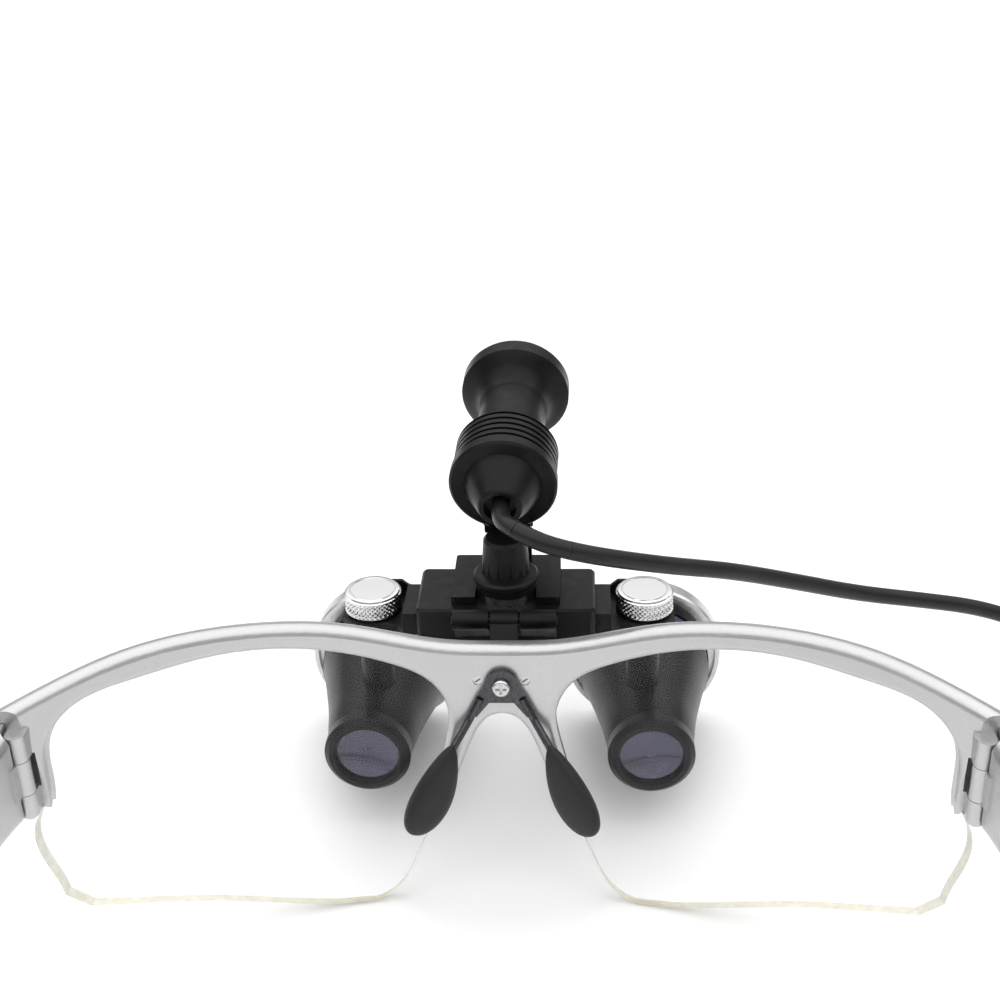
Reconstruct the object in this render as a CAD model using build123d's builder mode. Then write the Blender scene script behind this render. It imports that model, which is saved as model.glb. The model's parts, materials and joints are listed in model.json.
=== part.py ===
"""Dental loupes: half-rim wrap spectacles that carry two flip-up Galilean telescopes and a small LED lamp.

Units are millimetres. +X is the wearer's right, +Y is forward, +Z is up. The origin is on the floor, under
the middle of the loupes without their lead. They stand on the lower lens corners, the rims of the two
objectives and the ear tips. Heights are above the floor. The Y values below are distances ahead of the
line where the lenses touch the floor, which itself is FRONT_Y ahead of the origin; at() adds it.
"""

import os
from math import asin, cos, pi, radians, sin, sqrt, tan

from build123d import *

os.makedirs("parts", exist_ok=True)

SIDES = (("left", -1), ("right", 1))

# ---- spectacle front -------------------------------------------------------------------------------------
FRONT_Y = 41.5  # the lens contact line, ahead of the origin
FRONT_TILT = 8.0  # degrees that the top of the front leans forward
FRONT_RADIUS = 115.0  # wrap radius of the front, at mid thickness
FRONT_BASE = 3.5  # the wrap's foremost line at floor level, ahead of the lens contact line
FRAME_THICKNESS = 3.8
LENS_THICKNESS = 2.0
SEAM_GAP = 0.15
SEAM_Y = -16.0  # where the front ends and the temples begin
SEAT_DEPTH = 2.9  # from mid thickness to the flat that the bracket is screwed to

# ---- nose pads -------------------------------------------------------------------------------------------
NOSE_SCREW_UP = 40.0
PLATE_BACK = 2.1  # the nose plate lies on the back of the bridge
WIRE_R = 0.65
PAD_THICKNESS = 3.4

# ---- temples ---------------------------------------------------------------------------------------------
HINGE_X = 70.4
HINGE_Y = -17.4
KNUCKLE_R = 1.5
HINGE_SCREW_R = 0.75
LUG_LEVELS = ((33.0, 37.0), (43.0, 47.4))  # foot and top of the two lugs on the front
TONGUE_LEVELS = (37.1, 42.9)
TONGUE_SLOT = 0.9  # gap ahead of the tongue
TEMPLE_STATIONS = (  # x, y, z of the centre line, then thickness, height and lean in degrees
    (72.5, -16.15, 40.0, 4.6, 16.6, 8),
    (73.6, -24.0, 40.4, 4.6, 15.4, 6),
    (74.2, -45.0, 40.8, 4.0, 12.6, 3),
    (73.4, -70.0, 39.6, 3.4, 10.4, 1),
    (71.2, -93.0, 36.0, 3.2, 9.2, 0),
)
CORE_STATIONS = (
    (71.25, -92.0, 36.15, 2.0, 5.0, 0),
    (69.9, -101.0, 33.2, 2.0, 5.0, 0),
    (67.6, -114.0, 26.4, 2.0, 4.0, 0),
)
EAR_TIP_STATIONS = (
    (71.2, -93.0, 36.0, 4.4, 10.4, 0),
    (70.0, -101.0, 33.2, 5.0, 10.6, 0),
    (67.6, -114.0, 26.4, 5.2, 10.4, 0),
    (65.0, -127.0, 16.4, 5.2, 10.0, 0),
    (62.6, -137.0, 6.8, 4.8, 9.0, 0),
    (61.4, -141.0, 2.3, 3.4, 5.4, 0),
)

# ---- flip-up bracket -------------------------------------------------------------------------------------
FLIP_Y = 20.5
FLIP_Z = 43.8
FLIP_KNUCKLE_R = 1.75
FLIP_PIN_R = 0.8
RUNNING = 0.05  # radial clearance of a pin that turns in its hole
BASE_WIDTH = 14.6
SCREW_SPACING = 7.6
SCREW_UP = 40.6
SCREW_R = 0.6
SCREW_HEAD_R = 0.8
KNUCKLE_WIDTH = 4.6
KNUCKLE_SPAN = 17.4
KNUCKLE_GAP = 0.4
BLOCK_WIDTH = 30.6
BLOCK_REAR = 23.4
BLOCK_FRONT = 37.9
BLOCK_TOP = 44.0
BLOCK_FOOT = 35.6

# ---- telescopes ------------------------------------------------------------------------------------------
ARM_REAR = 26.2
ARM_FRONT = 36.4
ARM_TOP = 41.5
ARM_FOOT = 37.4
ARM_INNER = 1.2
ARM_OUTER = 18.0
YOKE_OUTER = 29.2
YOKE_REAR = 28.0
YOKE_FRONT = 39.4
YOKE_TOP = 38.3
YOKE_FOOT = 35.9
SLIDE_GAP = 0.1
NUT_X = 24.0
NUT_Y = 33.5
NUT_R = 5.1
NUT_HEIGHT = 3.9
STUD_R = 1.5
POST_R = 3.0
BARREL_X = 25.3
BARREL_REAR = 21.0
BARREL_Z = 15.1
TOE_IN = 0.6  # degrees that each telescope points inwards

# ---- lamp ------------------------------------------------------------------------------------------------
PAN_Y = 29.0
PAN_YAW = 2.5  # degrees that the lamp is turned to the right
SHOE_TOP = 45.6
SHOE_WIDTH = 18.6
SHOE_REAR = 25.0
SHOE_FRONT = 39.8
NOTCH_R = 5.2
KNOB_FOOT = 47.0
KNOB_TOP = 55.2
KNOB_R = 4.2
FLANGE_R = 5.6
TILT_AHEAD = 6.8  # the tilt pin, ahead of the pan axis
TILT_Z = 54.4
TILT_PIN_R = 0.7
LAMP_TILT = 10.7
LAMP_REAR_AHEAD = -1.0  # the lamp's rear ring on its axis, ahead of the pan axis
LAMP_REAR_Z = 65.1
LAMP_LENGTH = 31.5

# ---- lead ------------------------------------------------------------------------------------------------
CABLE_R = 1.5
COIL_MEAN_R = 16.5
COIL_WIDTH = 10.8
COIL_HEIGHT = 11.2
COIL_X = 163.0
COIL_Y = 44.0


def at(x, y, z):
    """A point of the design in the part's own frame."""
    return Vector(x, y + FRONT_Y, z)


def save(piece, name):
    """Labels a finished piece and writes it."""
    piece.part.label = name
    export_step(piece.part, f"parts/{name}.step")


# ==== the front ===========================================================================================
# front_plane lies against the front: x across, y up the tilted front, z back towards the wearer.
# wrap_plane looks down the front: x across, y forward.
tilt_sin = sin(radians(FRONT_TILT))
tilt_cos = cos(radians(FRONT_TILT))
front_plane = Plane(origin=at(0, FRONT_BASE, 0), x_dir=(1, 0, 0), z_dir=(0, -tilt_cos, tilt_sin))
wrap_plane = Plane(origin=at(0, FRONT_BASE, 0), x_dir=(1, 0, 0), z_dir=(0, tilt_sin, tilt_cos))
PROFILE_AHEAD = 8.0  # outlines start this far ahead of the front and run PROFILE_DEPTH back through it
PROFILE_DEPTH = 46.0
WRAP_FOOT = -4.0
WRAP_HEIGHT = 64.0


def mirrored(points):
    """The same points on the other side, in the opposite order."""
    return [(-x, y) for x, y in reversed(points)]


def wrap_shell(thickness):
    """The wrapped sheet that the front and its lenses are cut from."""
    with BuildPart(mode=Mode.PRIVATE) as shell:
        with BuildSketch(wrap_plane.offset(WRAP_FOOT)):
            with Locations((0, -FRONT_RADIUS)):
                Circle(FRONT_RADIUS + thickness / 2)
                Circle(FRONT_RADIUS - thickness / 2, mode=Mode.SUBTRACT)
        extrude(amount=WRAP_HEIGHT)
    return shell.part


BROW_TOP = [(0, 46.6), (9, 47.0), (17, 48.7), (26, 51.0), (36, 52.4), (47, 52.8), (58, 51.7), (67, 49.2)]
BROW_TOP += [(78, 45.4)]
END_FOOT = (78.0, 30.5)
APERTURE = [(67.7, 29.8), (67.6, 34.6), (67.3, 40.6), (64.3, 44.9), (56.0, 47.3), (45.0, 48.6)]
APERTURE += [(30.0, 47.5), (18.0, 43.9), (10.9, 39.5), (8.9, 35.2), (9.6, 29.0), (11.7, 21.5), (14.2, 14.6)]
NOSE_ARCH = [(12.2, 13.2), (10.2, 16.8), (8.3, 21.4), (6.3, 26.6), (4.3, 31.3), (2.3, 33.7), (0, 34.4)]
LENS_HELD = [(12.8, 12.6), (10.2, 22.0), (8.2, 29.5), (7.7, 35.4), (9.9, 40.4), (17.5, 45.0), (29.6, 48.7)]
LENS_HELD += [(45.0, 49.8), (56.4, 48.5), (65.3, 45.9), (68.6, 41.0), (68.8, 35.0), (68.7, 30.2)]
LENS_EAR = [(68.7, 30.2), (70.2, 26.8), (69.6, 21.2), (67.6, 13.9)]
LENS_FOOT = [(64.6, 10.5), (60.0, 8.8), (47.0, 4.9), (37.6, 2.1), (28.4, 0.1)]
LENS_INNER = [(22.3, -0.1), (18.2, 2.2), (15.3, 7.0), (12.8, 12.6)]

lenses = {}
for side, sign in SIDES:
    with BuildPart() as lens:
        with BuildSketch(front_plane.offset(-PROFILE_AHEAD)):
            with BuildLine():
                Spline([(sign * x, y) for x, y in LENS_HELD])
                Spline([(sign * x, y) for x, y in LENS_EAR])
                Line((sign * LENS_EAR[-1][0], LENS_EAR[-1][1]), (sign * LENS_FOOT[0][0], LENS_FOOT[0][1]))
                Spline([(sign * x, y) for x, y in LENS_FOOT])
                Line((sign * LENS_FOOT[-1][0], LENS_FOOT[-1][1]), (sign * LENS_INNER[0][0], LENS_INNER[0][1]))
                Spline([(sign * x, y) for x, y in LENS_INNER])
            make_face()
        extrude(amount=PROFILE_DEPTH)
        add(wrap_shell(LENS_THICKNESS), mode=Mode.INTERSECT)
    lenses[side] = lens
    save(lens, f"lens_{side}")

with BuildPart() as front_frame:
    with BuildSketch(front_plane.offset(-PROFILE_AHEAD)):
        with BuildLine():
            Spline(mirrored(BROW_TOP)[:-1] + BROW_TOP)
            Line(BROW_TOP[-1], END_FOOT)
            Line(END_FOOT, APERTURE[0])
            Spline(APERTURE)
            Line(APERTURE[-1], NOSE_ARCH[0])
            Spline(NOSE_ARCH + mirrored(NOSE_ARCH)[1:])
            Line(mirrored(NOSE_ARCH)[-1], mirrored(APERTURE)[0])
            Spline(mirrored(APERTURE))
            Line(mirrored(APERTURE)[-1], mirrored([END_FOOT])[0])
            Line(mirrored([END_FOOT])[0], mirrored(BROW_TOP)[0])
        make_face()
    extrude(amount=PROFILE_DEPTH)
    add(wrap_shell(FRAME_THICKNESS), mode=Mode.INTERSECT)
    fillet(front_frame.edges().filter_by(lambda edge: edge.length > 120), 1.6)  # along the top of the brow
    fillet(front_frame.edges().filter_by(lambda edge: 45 < edge.length < 55), 1.1)  # round the nose arch
    fillet(front_frame.edges().filter_by(lambda edge: 95 < edge.length < 110), 1.1)  # round the two apertures
    # the front ends at the seams
    with BuildSketch(Plane.XZ.offset(-(SEAM_Y + FRONT_Y))):
        Rectangle(200, 160)
    extrude(amount=40, mode=Mode.SUBTRACT)
    # the flat seat of the bracket, ahead of the bridge
    with BuildSketch(front_plane.offset(-SEAT_DEPTH)):
        with Locations((0, 40.2)):
            RectangleRounded(BASE_WIDTH + 0.8, 9.6, 1.5)
    extrude(amount=SEAT_DEPTH)
    # hinge lugs behind the end pieces, with a slot for the temple's tongue
    for side, sign in SIDES:
        for foot, top in LUG_LEVELS:
            with BuildSketch(Plane.XY.offset(foot)):
                with Locations(at(sign * HINGE_X, HINGE_Y, 0)):
                    Circle(KNUCKLE_R)
                with Locations(at(sign * HINGE_X, HINGE_Y / 2 + SEAM_Y / 2 + 1.1, 0)):
                    Rectangle(2 * KNUCKLE_R, SEAM_Y - HINGE_Y + 2.2)
            extrude(amount=top - foot)
        with BuildSketch(Plane.XY.offset(TONGUE_LEVELS[0] - 0.1)):
            with Locations(at(sign * HINGE_X, HINGE_Y, 0)):
                Circle(KNUCKLE_R + TONGUE_SLOT)
        extrude(amount=TONGUE_LEVELS[1] - TONGUE_LEVELS[0] + 0.2, mode=Mode.SUBTRACT)
        with BuildSketch(Plane.XY.offset(LUG_LEVELS[0][0] - 1)):
            with Locations(at(sign * HINGE_X, HINGE_Y, 0)):
                Circle(HINGE_SCREW_R)
        extrude(amount=LUG_LEVELS[1][1] - LUG_LEVELS[0][0] + 2, mode=Mode.SUBTRACT)
    # grooves for the lenses
    for side, sign in SIDES:
        add(lenses[side].part, mode=Mode.SUBTRACT)
    # holes for the nose screw and the two bracket screws
    with BuildSketch(front_plane.offset(-SEAT_DEPTH - 1)):
        with Locations((0, NOSE_SCREW_UP)):
            Circle(0.7)
        with Locations((-SCREW_SPACING / 2, SCREW_UP), (SCREW_SPACING / 2, SCREW_UP)):
            Circle(SCREW_R)
    extrude(amount=SEAT_DEPTH + 4, mode=Mode.SUBTRACT)
    with BuildSketch(front_plane.offset(FRAME_THICKNESS / 2 - 0.8)):
        with Locations((-SCREW_SPACING / 2, SCREW_UP), (SCREW_SPACING / 2, SCREW_UP)):
            Circle(SCREW_HEAD_R)
    extrude(amount=3, mode=Mode.SUBTRACT)
save(front_frame, "front_frame")

# ==== nose pads ===========================================================================================
PAD_WIDTH = 8.0
PAD_HEIGHT = 16.6
PAD_ROUNDING = 1.5


def pad_back(sign):
    """The flat back of a nose pad: x across the pad, y up it, z towards the nose."""
    normal = Vector(-sign * 0.53, -0.84, 0.02)
    upwards = Vector(-sign * 0.41, 0.25, 0.87)
    centre = front_plane.from_local_coords((sign * 11.1, 23.8, 7.6))
    return Plane(origin=centre, x_dir=upwards.cross(normal), z_dir=normal).offset(-PAD_THICKNESS / 2)


for side, sign in SIDES:
    with BuildPart() as pad:
        with BuildSketch(pad_back(sign)):
            Ellipse(PAD_WIDTH / 2, PAD_HEIGHT / 2)
        extrude(amount=PAD_THICKNESS)
        fillet(pad.edges(), PAD_ROUNDING)
    save(pad, f"nose_pad_{side}")

PLATE_R = 2.8
PLATE_THICKNESS = 0.9
PLATE_LEGS = [(-2.6, 41.0), (-5.3, 35.2), (-4.1, 34.6), (-2.0, 37.2), (2.0, 37.2), (4.1, 34.6), (5.3, 35.2)]
PLATE_LEGS += [(2.6, 41.0)]
WIRE_BEND = 2.4
PAD_WIRE = [(3.4, 38.0, 3.0), (5.2, 34.4, 3.2), (7.6, 30.6, 5.0), (9.5, 27.2, 6.5)]
with BuildPart() as nose_plate:
    with BuildSketch(front_plane.offset(PLATE_BACK)):
        with Locations((0, NOSE_SCREW_UP)):
            Circle(PLATE_R)
        with BuildLine():
            Polyline(*PLATE_LEGS, close=True)
        make_face()
        with Locations((0, NOSE_SCREW_UP)):
            Circle(0.75, mode=Mode.SUBTRACT)
    extrude(amount=PLATE_THICKNESS)
    for side, sign in SIDES:  # the wires, whose ends are moulded into the pads
        with BuildLine() as bend:
            corners = [front_plane.from_local_coords((sign * x, y, z)) for x, y, z in PAD_WIRE]
            FilletPolyline(*corners, radius=WIRE_BEND)
        with BuildSketch(Plane(origin=bend.line @ 0, z_dir=bend.line % 0)):
            Circle(WIRE_R)
        sweep(path=bend.line)
save(nose_plate, "nose_plate")


def pan_head(radius, height, recess):
    """A rounded screw head with a cross recess, standing on the current plane."""
    with BuildPart(mode=Mode.PRIVATE) as head:
        Cylinder(radius, height, align=(Align.CENTER, Align.CENTER, Align.MIN))
        fillet(head.edges().filter_by(GeomType.CIRCLE).sort_by(Axis.Z)[-1], height * 0.5)
        with BuildSketch(Plane.XY.offset(height)):
            Rectangle(recess, recess * 0.24)
            Rectangle(recess * 0.24, recess)
        extrude(amount=-height * 0.6, mode=Mode.SUBTRACT)
    return head.part


with BuildPart() as nose_screw:
    with BuildSketch(front_plane.offset(-SEAT_DEPTH + 0.1)):
        with Locations((0, NOSE_SCREW_UP)):
            Circle(0.7)
    extrude(amount=SEAT_DEPTH + PLATE_BACK + PLATE_THICKNESS)
    head_seat = front_plane.offset(PLATE_BACK + PLATE_THICKNESS).location
    with Locations(head_seat * Location((0, NOSE_SCREW_UP, 0))):
        add(pan_head(1.45, 0.9, 1.8))
save(nose_screw, "nose_screw")

# ==== temples =============================================================================================


def station_planes(stations, sign):
    """A plane square to the temple's centre line at each station, leaning as the station says."""
    centres = [at(sign * x, y, z) for x, y, z, *_ in stations]
    planes = []
    for i, centre in enumerate(centres):
        before = centres[max(i - 1, 0)]
        after = centres[min(i + 1, len(centres) - 1)]
        along = after - before
        if i == 0 and stations[0][1] > SEAM_Y - 1:
            along = Vector(0, -1, 0)
        across = along.cross(Vector(0, 0, 1))
        lean = stations[i][5]
        planes.append(Plane(origin=centre, x_dir=across, z_dir=along).rotated((0, 0, sign * lean)))
    return planes


def temple_loft(stations, sign):
    """A smooth bar of rounded sections through the stations."""
    with BuildPart(mode=Mode.PRIVATE) as bar:
        for plane, (_, _, _, thickness, height, _) in zip(station_planes(stations, sign), stations):
            with BuildSketch(plane):
                RectangleRounded(thickness, height, thickness * 0.42)
        loft()
    return bar.part


for side, sign in SIDES:
    with BuildPart() as core:
        add(temple_loft(CORE_STATIONS, sign))
    with BuildPart() as temple:
        add(temple_loft(TEMPLE_STATIONS, sign))
        # the bar stops short of the front's end piece
        with BuildSketch(Plane.XZ.offset(-(SEAM_Y - SEAM_GAP + FRONT_Y))):
            with Locations((sign * HINGE_X, 40)):
                Rectangle(24.0, 40)
        extrude(amount=-4, mode=Mode.SUBTRACT)
        # room for the lugs, then the tongue between them
        for foot, top in ((30.0, TONGUE_LEVELS[0]), (TONGUE_LEVELS[1], 51.0)):
            with BuildSketch(Plane.XY.offset(foot)):
                with Locations(at(sign * HINGE_X, HINGE_Y, 0)):
                    Circle(KNUCKLE_R + 0.35)
                with Locations(at(sign * HINGE_X, HINGE_Y / 2 + SEAM_Y / 2, 0)):
                    Rectangle(2 * KNUCKLE_R + 0.7, SEAM_Y - HINGE_Y)
            extrude(amount=top - foot, mode=Mode.SUBTRACT)
        with BuildSketch(Plane.XY.offset(TONGUE_LEVELS[0])):
            with Locations(at(sign * HINGE_X, HINGE_Y, 0)):
                Circle(KNUCKLE_R)
            with Locations(at(sign * (HINGE_X + 1.4), HINGE_Y - 1.6, 0)):
                Rectangle(2.8, 3.2)
        extrude(amount=TONGUE_LEVELS[1] - TONGUE_LEVELS[0])
        with BuildSketch(Plane.XY.offset(LUG_LEVELS[0][0])):
            with Locations(at(sign * HINGE_X, HINGE_Y, 0)):
                Circle(HINGE_SCREW_R + RUNNING)
        extrude(amount=LUG_LEVELS[1][1] - LUG_LEVELS[0][0], mode=Mode.SUBTRACT)
        add(core.part)
    save(temple, f"temple_{side}")
    with BuildPart() as ear_tip:
        add(temple_loft(EAR_TIP_STATIONS, sign))
        add(temple.part, mode=Mode.SUBTRACT)
    save(ear_tip, f"ear_tip_{side}")

with BuildPart() as hinge_screws:
    for side, sign in SIDES:
        with BuildSketch(Plane.XY.offset(LUG_LEVELS[0][0] + 0.2)):
            with Locations(at(sign * HINGE_X, HINGE_Y, 0)):
                Circle(HINGE_SCREW_R)
        extrude(amount=LUG_LEVELS[1][1] - LUG_LEVELS[0][0] - 0.2)
        under_lug = Plane(origin=at(sign * HINGE_X, HINGE_Y, LUG_LEVELS[0][0]), z_dir=(0, 0, -1))
        with Locations(under_lug.location):
            add(pan_head(1.1, 0.7, 1.3))
save(hinge_screws, "hinge_screws")

# ==== flip-up bracket =====================================================================================
BASE_THICKNESS = 2.0
BASE_SHELF_TOP = 42.0
BASE_SHELF_FOOT = 39.6
SHELF_REAR = 13.3
SHELF_FRONT = 18.3
flip_axis = at(0, FLIP_Y, FLIP_Z)
across_plane = Plane(origin=flip_axis, x_dir=(0, 1, 0), z_dir=(1, 0, 0))  # x forward, y up, z to the right


def across(width, x=0.0):
    """across_plane moved so that a symmetric extrusion of that width is centred at x."""
    return across_plane.offset(x - width / 2)


with BuildPart() as bracket_base:
    with BuildSketch(front_plane.offset(-SEAT_DEPTH - BASE_THICKNESS)):
        with Locations((0, 40.2)):
            RectangleRounded(BASE_WIDTH, 9.0, 1.2)
    extrude(amount=BASE_THICKNESS)
    # a shelf runs forward from the plate's top to the middle knuckle
    with BuildSketch(Plane.XY.offset(BASE_SHELF_FOOT)):
        with Locations(at(0, (SHELF_REAR + SHELF_FRONT) / 2, 0)):
            Rectangle(BASE_WIDTH, SHELF_FRONT - SHELF_REAR)
    extrude(amount=BASE_SHELF_TOP - BASE_SHELF_FOOT)
    fillet(bracket_base.edges().filter_by(Axis.Z).group_by(Axis.Y)[-1], 1.0)
    with BuildSketch(across(KNUCKLE_WIDTH)):
        Circle(FLIP_KNUCKLE_R)
        with BuildLine():
            Polyline((-3.4, -1.8), (-1.6, 0.4), (0.6, -1.4), (-0.6, -4.2), (-3.4, -4.2), close=True)
        make_face()
    extrude(amount=KNUCKLE_WIDTH)
    with BuildSketch(across(KNUCKLE_SPAN)):
        Circle(FLIP_PIN_R)
    extrude(amount=KNUCKLE_SPAN, mode=Mode.SUBTRACT)
    # the front's seat side is trimmed flush and the screws have their holes
    add(front_frame.part, mode=Mode.SUBTRACT)
    with BuildSketch(front_plane.offset(-SEAT_DEPTH - BASE_THICKNESS)):
        with Locations((-SCREW_SPACING / 2, SCREW_UP), (SCREW_SPACING / 2, SCREW_UP)):
            Circle(SCREW_R)
    extrude(amount=BASE_THICKNESS, mode=Mode.SUBTRACT)
save(bracket_base, "bracket_base")

with BuildPart() as bracket_screws:
    with BuildSketch(front_plane.offset(-SEAT_DEPTH - BASE_THICKNESS)):
        with Locations((-SCREW_SPACING / 2, SCREW_UP), (SCREW_SPACING / 2, SCREW_UP)):
            Circle(SCREW_R)
    extrude(amount=SEAT_DEPTH + BASE_THICKNESS + FRAME_THICKNESS / 2 - 0.8)
    with BuildSketch(front_plane.offset(FRAME_THICKNESS / 2 - 0.8)):
        with Locations((-SCREW_SPACING / 2, SCREW_UP), (SCREW_SPACING / 2, SCREW_UP)):
            Circle(SCREW_HEAD_R)
        with Locations((-SCREW_SPACING / 2, SCREW_UP), (SCREW_SPACING / 2, SCREW_UP)):
            Rectangle(1.0, 0.25, rotation=35, mode=Mode.SUBTRACT)
    extrude(amount=0.6)
save(bracket_screws, "bracket_screws")

with BuildPart() as flip_pin:
    with BuildSketch(across(KNUCKLE_SPAN + 0.6)):
        Circle(FLIP_PIN_R)
    extrude(amount=KNUCKLE_SPAN + 0.6)
    chamfer(flip_pin.edges().filter_by(GeomType.CIRCLE), 0.2)
save(flip_pin, "flip_pin")

OUTER_KNUCKLE = (KNUCKLE_SPAN - KNUCKLE_WIDTH) / 2 - KNUCKLE_GAP
OUTER_KNUCKLE_X = KNUCKLE_SPAN / 2 - OUTER_KNUCKLE / 2
BLOCK_DEPTH = BLOCK_FRONT - BLOCK_REAR
with BuildPart() as crossbar:
    with BuildSketch(Plane.XY.offset(BLOCK_FOOT)):
        with Locations(at(0, (BLOCK_REAR + BLOCK_FRONT) / 2, 0)):
            RectangleRounded(BLOCK_WIDTH, BLOCK_DEPTH, 1.0)
    extrude(amount=BLOCK_TOP - BLOCK_FOOT)
    chamfer(crossbar.faces().sort_by(Axis.Z)[-1].edges(), 0.4)
    chamfer(crossbar.faces().sort_by(Axis.Z)[0].edges(), 0.4)
    for sign in (-1, 1):
        with BuildSketch(across(OUTER_KNUCKLE, sign * OUTER_KNUCKLE_X)):
            Circle(FLIP_KNUCKLE_R)
            with BuildLine():
                Polyline((0, -1.4), (0, 0.2), (3.6, 0.2), (3.6, -5.0), (2.6, -5.0), close=True)
            make_face()
        extrude(amount=OUTER_KNUCKLE)
        with BuildSketch(across(OUTER_KNUCKLE, sign * OUTER_KNUCKLE_X)):
            Circle(FLIP_PIN_R + RUNNING)
        extrude(amount=OUTER_KNUCKLE, mode=Mode.SUBTRACT)
    # the tunnel that both slide arms run in
    with BuildSketch(Plane.YZ.offset(-BLOCK_WIDTH / 2)):
        with Locations(((ARM_REAR + ARM_FRONT) / 2 + FRONT_Y, (ARM_TOP + ARM_FOOT) / 2)):
            Rectangle(ARM_FRONT - ARM_REAR + 2 * SLIDE_GAP, ARM_TOP - ARM_FOOT + 2 * SLIDE_GAP)
    extrude(amount=BLOCK_WIDTH, mode=Mode.SUBTRACT)
save(crossbar, "crossbar")

# ==== telescopes ==========================================================================================
RING_LENGTH = 3.2
HOUSING_END = 34.0
BARREL_LENGTH = 37.0
RING_R = 7.75
RIM_R = 15.1
WALL = 1.3
HOUSING_PROFILE = [(7.3, RING_LENGTH), (7.9, 6.0), (8.6, 11.0), (10.2, 19.0), (12.2, 27.0), (13.6, 31.0)]
HOUSING_OUTLINE_END = HOUSING_PROFILE[-1][1]
OBJECTIVE_SEAT = 27.5
OBJECTIVE_R = 12.4


def barrel_plane(sign):
    """x outwards from a telescope's axis, y forward along it."""
    toe = radians(TOE_IN)
    ahead = Vector(-sign * sin(toe), cos(toe), 0)
    return Plane(
        origin=at(sign * BARREL_X, BARREL_REAR, BARREL_Z),
        x_dir=(sign * cos(toe), sin(toe), 0),
        z_dir=Vector(sign * cos(toe), sin(toe), 0).cross(ahead),
    )


def dome(centre, rim, radius):
    """Half a lens face for a revolved profile: an arc from the axis at centre to the rim's height."""
    depth = rim - centre
    face_radius = (radius**2 + depth**2) / (2 * abs(depth))
    quarter = asin(radius / face_radius) / 2
    middle = centre + (1 - cos(quarter)) * face_radius * (1 if depth > 0 else -1)
    return ThreePointArc((0, centre), (face_radius * sin(quarter), middle), (radius, rim))


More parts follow.
